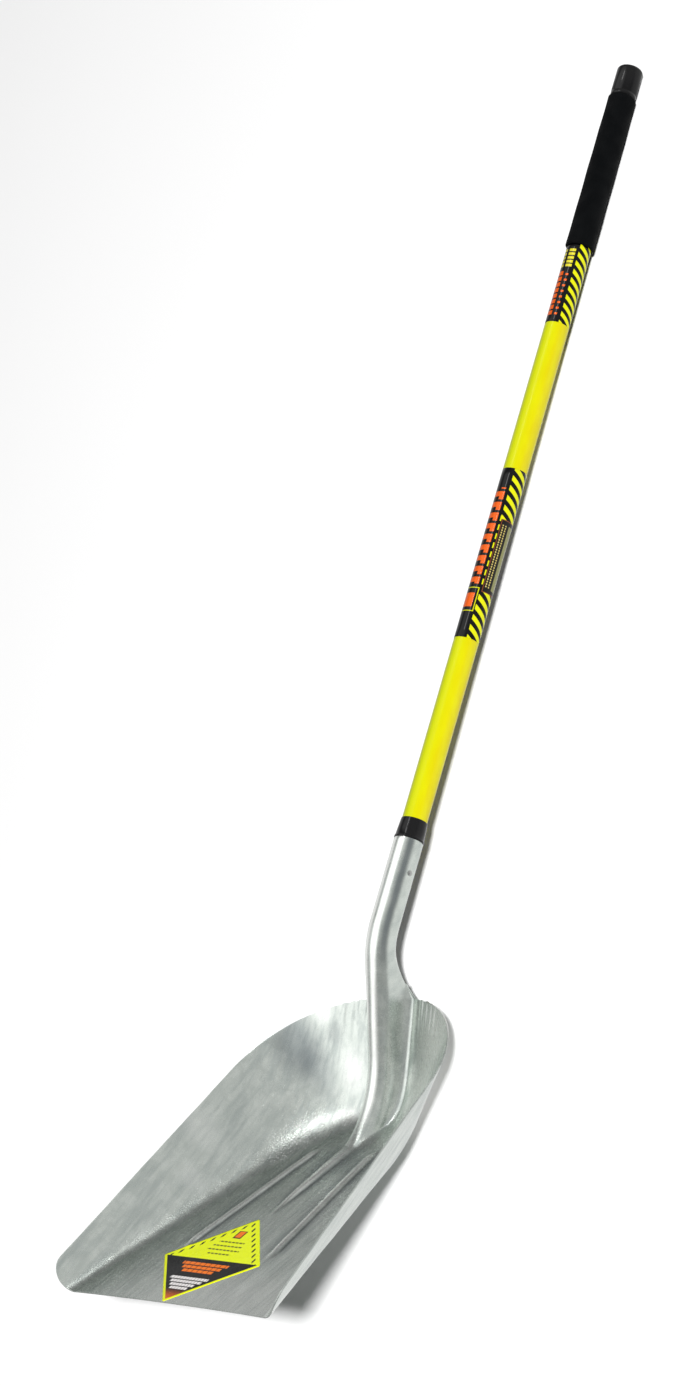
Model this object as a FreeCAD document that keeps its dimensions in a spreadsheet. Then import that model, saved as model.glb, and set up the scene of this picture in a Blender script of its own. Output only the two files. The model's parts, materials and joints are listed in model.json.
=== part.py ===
"""Scoop-pattern snow shovel: stamped aluminium blade, fibreglass handle, foam grip.

Millimetres, +Z up.  The shovel lies at rest on a floor, hollow side up: it stands on the heel of
the blade and on the outer end of the handle.  Origin: middle of the bounding box, at floor level.
+Y runs from the blade to the grip and X goes across the blade.

Every sub-part is drawn in one of two working frames and then placed:
  blade frame   X across, Y from the front edge towards the handle, Z up from the blade's flat floor
  handle frame  Z along the handle from the top of the collar, X across
"""

import FreeCAD, Part
import math
import os

from FreeCAD import Placement, Rotation, Vector

doc = FreeCAD.newDocument("snow_shovel")

# ---------------------------------------------------------------------------------------------
# Driving dimensions
# ---------------------------------------------------------------------------------------------

DIMENSIONS = {
    # blade: one pressed aluminium sheet
    "sheet_gauge": 1.8,
    "rim_half_front": 201.5,      # half width of the rim, carried forward to the front edge
    "rim_taper": 0.0775,          # half width lost for each mm towards the handle
    "rim_bend": 330,              # where the straight side turns into the rounded back
    "rim_back": 478,
    "foot_half_front": 176,       # the same four sizes for the edge of the flat floor
    "foot_taper": 0.24,
    "foot_bend": 270,
    "foot_back": 398,
    "wall_front": 28,             # height of the side wall at the front edge
    "wall_rise": 0.2,             # height gained for each mm towards the handle
    "wall_ease": 400,             # from here back the rim rises less and less
    "fold_softness": 0.35,        # share of the wall over which floor and wall blend
    "corner_round": 22,           # rounding of each wall's front corner
    "rim_front": -9,              # reach of the front corners
    "front_hollow": 3,            # how far the middle of the front edge is set back from them
    "back_half": 60,              # half width of the short back edge under the neck
    # neck: the same sheet rolled into a socket, running down the back wall as a hollow frog
    "collar_top_reach": 607.7,
    "collar_top_rise": 288.8,
    "handle_lift": 38.75,
    "neck_lift": 62.1,
    "neck_bend_drop": 157.7,      # from the top of the collar down to the bend, along the handle
    "neck_bend_radius": 110,
    "neck_radius": 18.4,
    "frog_arc_radius": 152,
    "frog_end_lift": 14,
    "seam_width": 1.5,
    # handle: pultruded tube with what is on it
    "handle_radius": 15.875,
    "handle_bore": 12.7,
    "handle_insert": 130,
    "handle_reach": 1069,
    "plug_length": 110,
    "collar_height": 27,
    "collar_top_radius": 16.7,
    "collar_base_radius": 19,
    "sleeve_depth": 30,
    "rivet_drop": 69,
    "rivet_radius": 2.4,
    "rivet_head_radius": 3.6,
    "rivet_head_height": 1.7,
    "grip_start": 801,
    "grip_end": 1027,
    "grip_radius": 18.9,
    "grip_round": 2,
    "cap_end": 1072,
    "cap_radius": 17.3,
    "cap_round": 5,
    "film_thickness": 0.2,
    "label_middle_start": 242,
    "label_middle_end": 477,
    "label_upper_start": 687,
    "sticker_side": 120.2,
    "sticker_across": -8.5,
    "sticker_ahead": 78.9,
}

sheet = doc.addObject("Spreadsheet::Sheet", "Dimensions")
for row, (alias, value) in enumerate(DIMENSIONS.items(), start=1):
    sheet.set("A%d" % row, alias)
    sheet.set("B%d" % row, str(value))
    sheet.setAlias("B%d" % row, alias)
doc.recompute()


def dim(alias):
    return float(sheet.get(alias))


ACROSS = Vector(1, 0, 0)


def along(angle):
    """Unit vector in the YZ plane, lifted by angle degrees from +Y."""
    return Vector(0, math.cos(math.radians(angle)), math.sin(math.radians(angle)))


def crestward(angle):
    """Unit vector square to along(angle), towards the hollow side of the shovel."""
    return along(angle + 90)


# ---------------------------------------------------------------------------------------------
# Pressed blade, in the blade frame
# ---------------------------------------------------------------------------------------------


def blend(low, high, share):
    return low + (high - low) * share


def half_width(level, reach):
    """Half width of the tray at a level: 0 is the edge of the floor and 1 is the rim."""
    half_front = blend(dim("foot_half_front"), dim("rim_half_front"), level)
    taper = blend(dim("foot_taper"), dim("rim_taper"), level)
    bend = blend(dim("foot_bend"), dim("rim_bend"), level)
    back = blend(dim("foot_back"), dim("rim_back"), level)
    straight = half_front - taper * reach
    turn = (reach - bend) / (back - bend)
    if turn <= 0:
        return straight
    if turn >= 1:
        return -(turn - 1) * straight
    return straight * math.sqrt(1 - turn * turn)


def wall_level(across, reach):
    """Level at which the tray's outline passes through a point of the plan."""
    low, high = -1.0, 1.4
    for _ in range(40):
        middle = (low + high) / 2
        if half_width(middle, reach) < abs(across):
            low = middle
        else:
            high = middle
    return (low + high) / 2


def rim_height(reach):
    height = dim("wall_front") + dim("wall_rise") * reach
    past = reach - dim("wall_ease")
    if past > 0:
        height -= dim("wall_rise") * past * past / (2 * (dim("rim_back") - dim("wall_ease")))
    return height


def tray_height(across, reach):
    """Height of the tray's upper face: flat floor, soft fold, straight wall."""
    level = wall_level(across, reach)
    soft = dim("fold_softness")
    if level <= -soft:
        return 0.0
    if level < soft:
        level = (level + soft) ** 2 / (4 * soft)
    return level * rim_height(reach)


def tray_point(across, reach):
    return Vector(across, reach, tray_height(across, reach))


ARC_ALLOWANCE = 1.1   # length of the rounded back over its depth times its angle
BACK_EASE = 0.5       # how much closer together the rows lie towards the back edge


def last_rim_angle():
    return math.acos(dim("back_half") / (dim("rim_half_front") - dim("rim_taper") * dim("rim_back")))


def rim_plan(share):
    """Point of the rim's plan outline: share runs from the front corner to the back edge."""
    straight_length = dim("rim_bend") - dim("rim_front")
    depth = dim("rim_back") - dim("rim_bend")
    curve_length = depth * last_rim_angle() * ARC_ALLOWANCE
    travelled = share * (straight_length + curve_length)
    if travelled < straight_length:
        reach = dim("rim_front") + travelled
    else:
        angle = (travelled - straight_length) / curve_length * last_rim_angle()
        reach = dim("rim_bend") + depth * math.sin(angle)
    level = 1.0
    short = dim("corner_round") - travelled
    if short > 0:
        rounding = dim("corner_round") - math.sqrt(dim("corner_round") ** 2 - short ** 2)
        level -= rounding / dim("wall_front")
    return half_width(level, reach), reach


def centre_reach(share):
    """Where the row that starts at the rim's share crosses the middle of the blade."""
    _, rim_reach = rim_plan(share)
    _, last_straight = rim_plan(0.5)
    if share <= 0.5:
        return rim_reach + dim("front_hollow") * (1 - share / 0.5) ** 4
    part = (share - 0.5) / 0.5
    return blend(last_straight, dim("rim_back"), (1 + BACK_EASE) * part - BACK_EASE * part * part)


ROWS, COLUMNS = 36, 45
ROW_CROWDING = 0.1       # rows lie closer together at the front
COLUMN_CROWDING = 0.25   # columns lie closer together at the rims


def tray_rows(gauge):
    """Grid of points of the upper face, or of the lower face when gauge is not zero."""
    rows = []
    for row in range(ROWS):
        step = row / (ROWS - 1)
        share = step - ROW_CROWDING * math.sin(math.pi * step) * (1 - step)
        rim_across, rim_reach = rim_plan(share)
        middle_reach = centre_reach(share)
        points = []
        for column in range(COLUMNS):
            side = 2 * column / (COLUMNS - 1) - 1
            across = rim_across * ((1 + COLUMN_CROWDING) * side - COLUMN_CROWDING * side ** 3)
            reach = blend(middle_reach, rim_reach, (across / rim_across) ** 2)
            point = tray_point(across, reach)
            if gauge:
                slope_across = tray_height(across + 1, reach) - tray_height(across - 1, reach)
                slope_reach = tray_height(across, reach + 1) - tray_height(across, reach - 1)
                normal = Vector(-slope_across / 2, -slope_reach / 2, 1).normalize()
                point = point - normal * gauge
            points.append(point)
        rows.append(points)
    return rows


def face_through(rows):
    surface = Part.BSplineSurface()
    surface.interpolate(rows)
    return surface.toShape().Faces[0]


def pressed_tray():
    """Closed solid of the sheet, without the neck."""
    upper = face_through(tray_rows(0))
    lower = face_through(tray_rows(dim("sheet_gauge")))
    sides = []
    for near, far in zip(upper.OuterWire.OrderedEdges, lower.OuterWire.OrderedEdges):
        sides.append(Part.makeRuledSurface(near, far))
    shell = Part.Shell([upper, lower] + sides)
    shell.sewShape()
    solid = Part.Solid(Part.Shell(shell.Faces))
    if solid.Volume < 0:
        solid.reverse()
    return solid


# ---------------------------------------------------------------------------------------------
# Neck and frog, in the blade frame
# ---------------------------------------------------------------------------------------------

collar_top = Vector(0, dim("collar_top_reach"), dim("collar_top_rise"))
bend_corner = collar_top - along(dim("handle_lift")) * dim("neck_bend_drop")
bend_turn = dim("neck_lift") - dim("handle_lift")
bend_tangent = dim("neck_bend_radius") * math.tan(math.radians(bend_turn / 2))
neck_top = bend_corner - along(dim("neck_lift")) * bend_tangent
socket_foot = bend_corner + along(dim("handle_lift")) * bend_tangent
socket_length = dim("neck_bend_drop") - bend_tangent - dim("collar_height")


def tangent_foot():
    """Where the straight neck's axis meets the frog's lower arc."""
    end_lift, lift = math.radians(dim("frog_end_lift")), math.radians(dim("neck_lift"))
    crest_rise = dim("frog_arc_radius") * (math.cos(end_lift) - math.cos(lift))
    crest = neck_top + crestward(dim("neck_lift")) * dim("neck_radius")
    drop = (crest.z - crest_rise) / math.sin(lift)
    return neck_top - along(dim("neck_lift")) * drop, drop


neck_foot, neck_length = tangent_foot()
frog_turn = dim("neck_lift") - dim("frog_end_lift")
frog_arc_centre = neck_foot + crestward(dim("neck_lift")) * (dim("frog_arc_radius") + dim("neck_radius"))


def bend_arc_centre():
    return socket_foot - crestward(dim("handle_lift")) * dim("neck_bend_radius")


def disc(centre, lift, radius):
    return Part.Face(Part.Wire(Part.makeCircle(radius, centre, along(lift))))


def arch_face(centre, lift, radius, skirt):
    """Half-round top of a radius, on straight sides that reach skirt below the axis."""
    crest, sideways = crestward(lift), ACROSS * radius
    left, right = centre - sideways, centre + sideways
    top = centre + crest * radius
    arc = Part.Arc(left, top, right).toShape()
    down_right = Part.makeLine(right, right - crest * skirt)
    floor = Part.makeLine(right - crest * skirt, left - crest * skirt)
    up_left = Part.makeLine(left - crest * skirt, left)
    return Part.Face(Part.Wire([arc, down_right, floor, up_left]))


def neck_tube(radius, overrun):
    """Round tube from the socket's mouth down to the foot of the straight neck."""
    lift = dim("handle_lift")
    socket = disc(socket_foot, lift, radius).extrude(along(lift) * (socket_length + overrun))
    bend = disc(socket_foot, lift, radius).revolve(bend_arc_centre(), ACROSS, bend_turn)
    neck = disc(neck_top, dim("neck_lift"), radius).extrude(along(dim("neck_lift")) * -neck_length)
    return [socket, bend, neck]


def frog(radius, skirt):
    """The neck's arch with its skirts, and the arc that brings it down to the floor."""
    lift = dim("neck_lift")
    face = arch_face(neck_foot, lift, radius, skirt)
    upper = face.extrude(along(lift) * neck_length)
    lower = face.revolve(frog_arc_centre, ACROSS, -frog_turn)
    return [upper, lower]


def joined(solids):
    return solids[0].multiFuse(solids[1:]).removeSplitter()


def above_tray():
    """Everything over the lower face of the sheet, up to just over the back rim."""
    lower = face_through(tray_rows(dim("sheet_gauge") * 0.5))
    return lower.extrude(Vector(0, 0, dim("rim_back")))


RIM_OVERLAP = 4      # how far the frog stands over the back rim, inside the neck
OUTER_SKIRT = 40     # depth of the frog's sides below its axis, before they are cut to the tray
HOLLOW_SKIRT = 65    # the same for its hollow, which has to reach below the tray
MOUTH_OVERRUN = 5    # how far the hollow runs past the socket's mouth


def below_rim():
    """Everything up to just over the back rim."""
    half, depth = dim("rim_half_front"), dim("rim_back")
    top = rim_height(depth) + RIM_OVERLAP
    return Part.makeBox(2 * half, 2 * depth, top + depth, Vector(-half, -depth / 2, -depth))


def make_blade():
    gauge = dim("sheet_gauge")
    radius = dim("neck_radius")
    arch = joined(frog(radius, OUTER_SKIRT)).common(above_tray()).common(below_rim())
    hollow = joined(neck_tube(radius - gauge, MOUTH_OVERRUN) + frog(radius - gauge, HOLLOW_SKIRT))
    outer = pressed_tray().multiFuse([arch, joined(neck_tube(radius, 0))])
    blade = outer.cut(hollow)
    blade = blade.cut(seam_slot()).cut(rivet_hole_blade())
    pieces = sorted(blade.Solids, key=lambda piece: piece.Volume)
    return pieces[-1]


def handle_frame():
    return Placement(collar_top, Rotation(ACROSS, dim("handle_lift") - 90))


def seam_slot():
    """Open seam along the underside of the rolled socket, cut through its mouth."""
    slot = Part.makeBox(dim("seam_width"), 2 * dim("neck_radius"), socket_length + MOUTH_OVERRUN)
    slot.translate(Vector(-dim("seam_width") / 2, 0, -dim("collar_height") - socket_length))
    slot.Placement = handle_frame().multiply(slot.Placement)
    return slot


def rivet_hole_blade():
    start = Vector(-2 * dim("neck_radius"), 0, -dim("rivet_drop"))
    hole = Part.makeCylinder(dim("rivet_radius"), 4 * dim("neck_radius"), start, ACROSS)
    hole.Placement = handle_frame().multiply(hole.Placement)
    return hole


# ---------------------------------------------------------------------------------------------
# Resting attitude
# ---------------------------------------------------------------------------------------------


def rest_tilt(blade_points, end_points):
    """Angle about X at which the blade's heel and the handle's outer end touch one floor."""

    def lowest(points, tilt):
        lift = crestward(tilt)
        return min(point.dot(lift) for point in points)

    low, high = 20.0, 60.0
    for _ in range(40):
        tilt = (low + high) / 2
        if lowest(blade_points, tilt) > lowest(end_points, tilt):
            high = tilt
        else:
            low = tilt
    return tilt


def end_rings():
    """Points round the grip's and the cap's outer ends."""
    grip_ring = Vector(0, dim("grip_radius"), dim("grip_end") - dim("grip_round"))
    cap_ring = Vector(0, dim("cap_radius"), dim("cap_end") - dim("cap_round"))
    return [handle_frame().multVec(ring) for ring in (grip_ring, cap_ring)]


# ---------------------------------------------------------------------------------------------
# Document objects
# ---------------------------------------------------------------------------------------------

blade = doc.addObject("Part::Feature", "Blade")
blade.Label = "scoop_blade"
blade.Shape = make_blade()

tilt = rest_tilt(blade.Shape.tessellate(0.5)[0], end_rings())
to_rest = Placement(Vector(), Rotation(ACROSS, -tilt))
blade.Placement = to_rest
on_handle = to_rest.multiply(handle_frame())


def cylinder(name, radius, height, start="0"):
    """Part::Cylinder along the handle; the sizes are expressions over the sheet."""
    solid = doc.addObject("Part::Cylinder", name)
    solid.setExpression("Radius", radius)
    solid.setExpression("Height", height)
    solid.setExpression("Placement.Base.z", start)
    return solid


def cross_cylinder(name, radius):
    """Part::Cylinder across the handle, at the rivet."""
    solid = doc.addObject("Part::Cylinder", name)
    solid.Placement = Placement(Vector(), Rotation(Vector(0, 1, 0), 90))
    solid.setExpression("Radius", radius)
    solid.setExpression("Height", "4 * Dimensions.neck_radius")
    solid.setExpression("Placement.Base.x", "-2 * Dimensions.neck_radius")
    solid.setExpression("Placement.Base.z", "-Dimensions.rivet_drop")
    return solid


def cut(name, base, *tools):
    """Base less each tool in turn; the last cut is returned."""
    for number, tool in enumerate(tools, start=1):
        less = doc.addObject("Part::Cut", "%s%d" % (name, number))
        less.Base = base
        less.Tool = tool
        base = less
    return base


def rounded(name, base, radius, rings):
    """Rounds the circular edges that lie at the given (height, radius) pairs."""
    doc.recompute()
    chosen = []
    for number, edge in enumerate(base.Shape.Edges, start=1):
        middle = edge.BoundBox.Center.z
        flat = edge.BoundBox.ZLength < 0.01
        for height, ring in rings:
            if flat and abs(middle - height) < 0.01 and abs(edge.Curve.Radius - ring) < 0.01:
                chosen.append((number, radius, radius))
    solid = doc.addObject("Part::Fillet", name)
    solid.Base = base
    solid.Edges = chosen
    return solid


def finish(solid, label):
    solid.Label = label
    solid.Placement = on_handle
    return solid


def make_collar():
    """Tapered ferrule with a thin sleeve that fills the gap between socket and handle."""
    skirt = doc.addObject("Part::Cone", "CollarSkirt")
    skirt.setExpression("Radius1", "Dimensions.collar_base_radius")
    skirt.setExpression("Radius2", "Dimensions.collar_top_radius")
    skirt.setExpression("Height", "Dimensions.collar_height")
    skirt.setExpression("Placement.Base.z", "-Dimensions.collar_height")
    sleeve = cylinder(
        "CollarSleeve",
        "Dimensions.neck_radius - Dimensions.sheet_gauge",
        "Dimensions.sleeve_depth + 1",
        "-Dimensions.collar_height - Dimensions.sleeve_depth",
    )
    body = doc.addObject("Part::Fuse", "CollarBody")
    body.Base = skirt
    body.Tool = sleeve
    bore = cylinder(
        "CollarBore",
        "Dimensions.handle_radius",
        "Dimensions.collar_height + Dimensions.sleeve_depth + 2",
        "-Dimensions.collar_height - Dimensions.sleeve_depth - 1",
    )
    return cut("Collar", body, bore)


def make_handle():
    tube = cylinder(
        "HandleOuter",
        "Dimensions.handle_radius",
        "Dimensions.handle_insert + Dimensions.handle_reach",
        "-Dimensions.handle_insert",
    )
    bore = cylinder(
        "HandleBore",
        "Dimensions.handle_bore",
        "Dimensions.handle_insert + Dimensions.handle_reach + 2",
        "-Dimensions.handle_insert - 1",
    )
    return cut("Handle", tube, bore, cross_cylinder("HandleRivetHole", "Dimensions.rivet_radius"))


def make_plug():
    length = "Dimensions.plug_length"
    plug = cylinder("PlugRod", "Dimensions.handle_bore", length, "-Dimensions.handle_insert")
    return cut("Plug", plug, cross_cylinder("PlugRivetHole", "Dimensions.rivet_radius"))


def make_rivet():
    """Through rivet with a domed head at each end, turned about its own axis."""
    body = doc.addObject("PartDesign::Body", "Rivet")
    profile = body.newObject("Sketcher::SketchObject", "RivetProfile")
    planes = {plane.Role: plane for plane in body.Origin.OriginFeatures}
    profile.AttachmentSupport = [(planes["XY_Plane"], "")]
    profile.MapMode = "FlatFace"
    seat, shank = dim("neck_radius"), dim("rivet_radius")
    head, dome = dim("rivet_head_radius"), dim("rivet_head_height")
    corners = [Vector(-seat - dome, 0), Vector(-seat, head), Vector(-seat, shank)]
    corners += [Vector(-point.x, point.y) for point in reversed(corners)]
    dome_radius = (head ** 2 + dome ** 2) / (2 * dome)
    half_angle = math.asin(head / dome_radius) / 2
    crown = -seat - dome
    bulge_height = dome_radius * math.sin(half_angle)
    bulge = Vector(crown + dome_radius * (1 - math.cos(half_angle)), bulge_height)
    profile.addGeometry(Part.ArcOfCircle(corners[0], bulge, corners[1]))
    for start, end in zip(corners[1:4], corners[2:5]):
        profile.addGeometry(Part.LineSegment(start, end))
    profile.addGeometry(Part.ArcOfCircle(corners[4], Vector(-bulge.x, bulge.y), corners[5]))
    profile.addGeometry(Part.LineSegment(corners[5], corners[0]))
    turned = body.newObject("PartDesign::Revolution", "RivetTurned")
    turned.Profile = profile
    turned.ReferenceAxis = (profile, ["H_Axis"])
    turned.Angle = 360
    return body


def make_grip():
    sleeve = cylinder("GripSleeve", "Dimensions.grip_radius", "Dimensions.grip_end - Dimensions.grip_start",
                      "Dimensions.grip_start")
    ends = [(dim("grip_start"), dim("grip_radius")), (dim("grip_end"), dim("grip_radius"))]
    soft = rounded("GripRounded", sleeve, dim("grip_round"), ends)
    length = "Dimensions.grip_end - Dimensions.grip_start + 2"
    bore = cylinder("GripBore", "Dimensions.handle_radius", length, "Dimensions.grip_start - 1")
    return cut("Grip", soft, bore)


def make_cap():
    """Moulded cap pushed over the end of the tube."""
    shell = cylinder("CapShell", "Dimensions.cap_radius", "Dimensions.cap_end - Dimensions.grip_end",
                     "Dimensions.grip_end")
    soft = rounded("CapRounded", shell, dim("cap_round"), [(dim("cap_end"), dim("cap_radius"))])
    length = "Dimensions.handle_reach - Dimensions.grip_end + 1"
    bore = cylinder("CapBore", "Dimensions.handle_radius", length, "Dimensions.grip_end - 1")
    return cut("Cap", soft, bore)


def make_film(name, start, end):
    """Printed film wrapped once round the handle."""
    outer = cylinder(name + "Outer", "Dimensions.handle_radius + Dimensions.film_thickness",
                     "Dimensions.%s - Dimensions.%s" % (end, start), "Dimensions." + start)
    inner = cylinder(name + "Inner", "Dimensions.handle_radius",
                     "Dimensions.%s - Dimensions.%s + 2" % (end, start), "Dimensions.%s - 1" % start)
    return cut(name, outer, inner)


def make_sticker():
    """Thin square label laid corner to corner on the blade's flat floor."""
    sticker = doc.addObject("Part::Box", "Sticker")
    sticker.setExpression("Length", "Dimensions.sticker_side")
    sticker.setExpression("Width", "Dimensions.sticker_side")
    sticker.setExpression("Height", "Dimensions.film_thickness")
    half_diagonal = dim("sticker_side") / math.sqrt(2)
    corner = Vector(dim("sticker_across"), dim("sticker_ahead") - half_diagonal, 0)
    turned = Placement(corner, Rotation(Vector(0, 0, 1), 45))
    sticker.Label = "blade_sticker"
    sticker.Placement = to_rest.multiply(turned)
    return sticker


rivet = finish(make_rivet(), "socket_rivet")
rivet.Placement = on_handle.multiply(Placement(Vector(0, 0, -dim("rivet_drop")), Rotation()))

sub_parts = [
    blade,
    finish(make_collar(), "socket_collar"),
    finish(make_handle(), "handle_tube"),
    finish(make_plug(), "core_plug"),
    rivet,
    finish(make_grip(), "foam_grip"),
    finish(make_cap(), "end_cap"),
    finish(make_film("FilmMiddle", "label_middle_start", "label_middle_end"), "handle_label_middle"),
    finish(make_film("FilmUpper", "label_upper_start", "grip_start"), "handle_label_upper"),
    make_sticker(),
]
doc.recompute()

# ---------------------------------------------------------------------------------------------
# Origin on the floor, under the middle of the bounding box
# ---------------------------------------------------------------------------------------------


def whole_box():
    box = FreeCAD.BoundBox()
    for part in sub_parts:
        box.add(part.Shape.optimalBoundingBox(False))
    return box


box = whole_box()
to_origin = Placement(Vector(-box.Center.x, -box.Center.y, -box.ZMin), Rotation())
for part in sub_parts:
    part.Placement = to_origin.multiply(part.Placement)
doc.recompute()

# ---------------------------------------------------------------------------------------------
# Check and write
# ---------------------------------------------------------------------------------------------

for item in doc.Objects:
    if {"Invalid", "Error"} & set(item.State):
        raise RuntimeError("%s failed: %s" % (item.Label, item.State))
for part in sub_parts:
    if part.Shape.isNull() or not part.Shape.isValid():
        raise RuntimeError("%s has no valid shape" % part.Label)

os.makedirs("parts", exist_ok=True)
for part in sub_parts:
    part.Shape.exportStep("parts/%s.step" % part.Label)
    size = part.Shape.optimalBoundingBox(False)
    print("%-20s %9.1f mm3  %s" % (part.Label, part.Shape.Volume, size))
print("tilt %.3f  whole %s" % (tilt, whole_box()))
print("handle axis at the collar top", on_handle.Base + to_origin.Base)
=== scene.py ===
"""Looks for the snow shovel: pressed aluminium scoop, yellow fibreglass handle, printed films, foam grip.

Lengths are in millimetres in the working frames and are turned into metres in the row frame at the end.
  blade frame   X across, Y from the front edge towards the handle, Z up from the blade's flat floor
  handle frame  angle round the handle (0 on the hollow side, 90 towards +X), distance from the collar's top
"""

import json
import math

import bpy
import numpy as np
from mathutils import Matrix, Vector


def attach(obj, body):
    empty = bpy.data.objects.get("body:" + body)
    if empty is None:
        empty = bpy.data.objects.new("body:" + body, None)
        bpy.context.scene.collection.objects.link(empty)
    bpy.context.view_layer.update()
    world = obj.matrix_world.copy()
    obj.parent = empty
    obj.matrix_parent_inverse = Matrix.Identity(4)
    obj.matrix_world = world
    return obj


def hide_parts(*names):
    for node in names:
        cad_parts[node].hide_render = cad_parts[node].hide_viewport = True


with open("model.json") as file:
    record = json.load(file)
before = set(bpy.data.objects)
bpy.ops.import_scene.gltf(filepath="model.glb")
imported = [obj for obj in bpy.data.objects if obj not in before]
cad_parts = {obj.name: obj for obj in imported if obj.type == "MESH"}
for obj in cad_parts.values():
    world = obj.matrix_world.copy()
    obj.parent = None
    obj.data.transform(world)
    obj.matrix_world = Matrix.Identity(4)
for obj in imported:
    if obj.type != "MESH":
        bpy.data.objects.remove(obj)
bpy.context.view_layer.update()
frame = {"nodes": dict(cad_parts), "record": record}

MM = 0.001
BODY = "root"

# --- Sizes of the design, in mm ---

SHEET = 1.8
RIM = {"half": 201.5, "taper": 0.0775, "bend": 330.0, "back": 478.0}
FOOT = {"half": 176.0, "taper": 0.24, "bend": 270.0, "back": 398.0}
WALL_FRONT, WALL_RISE, WALL_EASE = 28.0, 0.2, 400.0
FOLD_SOFTNESS = 0.35
CORNER_ROUND = 22.0
RIM_FRONT, FRONT_HOLLOW = -9.0, 3.0
BACK_HALF = 60.0

COLLAR_TOP = np.array([0.0, 607.7, 288.8])
HANDLE_LIFT, NECK_LIFT = 38.75, 62.1
NECK_BEND_DROP, NECK_BEND_RADIUS = 157.7, 110.0
NECK_RADIUS = 18.4
NECK_FLARE = 14.0
FROG_ARC, FROG_END_LIFT = 152.0, 14.0
SEAM_HALF = 0.75

HANDLE_RADIUS, HANDLE_BORE, HANDLE_INSERT, HANDLE_REACH = 15.875, 12.7, 130.0, 1069.0
COLLAR_HEIGHT, COLLAR_TOP_RADIUS, COLLAR_BASE_RADIUS, SLEEVE_DEPTH = 27.0, 16.7, 19.0, 30.0
RIVET_DROP, RIVET_HEAD, RIVET_DOME = 69.0, 3.6, 1.7
GRIP_START, GRIP_END, GRIP_RADIUS = 801.0, 1027.0, 18.9
CAP_END, CAP_RADIUS = 1072.0, 17.3
FILM = 0.2
LABEL_MIDDLE, LABEL_UPPER = (242.0, 477.0), (687.0, 801.0)
STICKER_HALF, STICKER_AT = 85.0, (-8.5, 78.9)

# --- Working frames ---


def along(angle):
    """Unit vector in the YZ plane, lifted by angle degrees from +Y."""
    return np.array([0.0, math.cos(math.radians(angle)), math.sin(math.radians(angle))])


def crestward(angle):
    """Unit vector square to along(angle), towards the hollow side."""
    return along(angle + 90)


def rest_transform():
    """Rotation and offset that carry the blade frame into the row frame, read from the grip mount."""
    grip = next(mount for mount in frame["record"]["mounts"] if mount["name"] == "grip")
    axis = grip["axis"]
    tilt = math.radians(HANDLE_LIFT) - math.atan2(axis[2], axis[1])
    turn = np.array([
        [1, 0, 0],
        [0, math.cos(tilt), math.sin(tilt)],
        [0, -math.sin(tilt), math.cos(tilt)],
    ])
    grip_middle = COLLAR_TOP + along(HANDLE_LIFT) * (GRIP_START + GRIP_END) / 2
    return turn, np.array(grip["pos_m"]) - turn @ grip_middle * MM


TURN, OFFSET = rest_transform()


def to_row(points):
    """Blade frame in mm to row frame in metres, for one point or an array of them."""
    return np.asarray(points, float) @ TURN.T * MM + OFFSET


def on_handle(angle, radius, reach):
    """Point of the blade frame at an angle, a radius and a distance along the handle."""
    angle = np.radians(np.asarray(angle, float))
    radius, reach = np.asarray(radius, float), np.asarray(reach, float)
    across = np.multiply.outer(np.sin(angle) * radius, [1.0, 0.0, 0.0])
    rise = np.multiply.outer(np.cos(angle) * radius, crestward(HANDLE_LIFT))
    return COLLAR_TOP + across + rise + np.multiply.outer(reach + 0 * angle, along(HANDLE_LIFT))


# --- Mesh helpers ---


def smoothstep(low, high, value):
    part = np.clip((np.asarray(value, float) - low) / (high - low), 0, 1)
    return part * part * (3 - 2 * part)


def add_piece(name, points, faces, material, replaces, attributes=None):
    """Smooth piece from blade-frame points; attributes are values kept for its material."""
    mesh = bpy.data.meshes.new(name)
    mesh.from_pydata(to_row(points).tolist(), [], faces)
    for label, values in (attributes or {}).items():
        domain = "POINT" if len(values) == len(points) else "CORNER"
        layer = mesh.attributes.new(label, "FLOAT", domain)
        layer.data.foreach_set("value", np.asarray(values, np.float32))
    mesh.polygons.foreach_set("use_smooth", [True] * len(mesh.polygons))
    mesh.update()
    piece = bpy.data.objects.new(name, mesh)
    piece.data.materials.append(material)
    bpy.context.scene.collection.objects.link(piece)
    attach(piece, BODY)
    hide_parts(replaces)
    return piece


JOIN_ANGLE = 229.0


def turned(name, profile, material, replaces, around=120, wobble=None):
    """Closed piece turned about the handle from a loop of (reach, radius) points.

    The two coordinates are kept on the face corners, so that a pattern is unbroken where the turn closes.
    """
    reach, radius = np.array(profile, float).T
    angles = JOIN_ANGLE + np.arange(around) * 360.0 / around
    rounds = np.tile(angles, len(profile))
    reaches, radii = np.repeat(reach, around), np.repeat(radius, around)
    if wobble:
        radii = radii + wobble(rounds, reaches, radii)
    ring, step = np.meshgrid(np.arange(len(profile)), np.arange(around), indexing="ij")
    rings = np.stack([ring, ring + 1, ring + 1, ring], 2).reshape(-1, 4) % len(profile)
    steps = np.stack([step, step, step + 1, step + 1], 2).reshape(-1, 4)
    faces = rings * around + steps % around
    values = {
        "round_deg": (JOIN_ANGLE - 360 + steps * 360.0 / around).ravel(),
        "along_mm": reach[rings].ravel(),
    }
    points = on_handle(rounds, radii, reaches)
    return add_piece(name, points, faces.tolist(), material, replaces, values)


def ring_faces(rings, count):
    """Quads between consecutive rings of count points."""
    faces = []
    for ring in range(rings - 1):
        here, there = ring * count, (ring + 1) * count
        for step in range(count):
            after = (step + 1) % count
            faces.append((here + step, here + after, there + after, there + step))
    return faces


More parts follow.
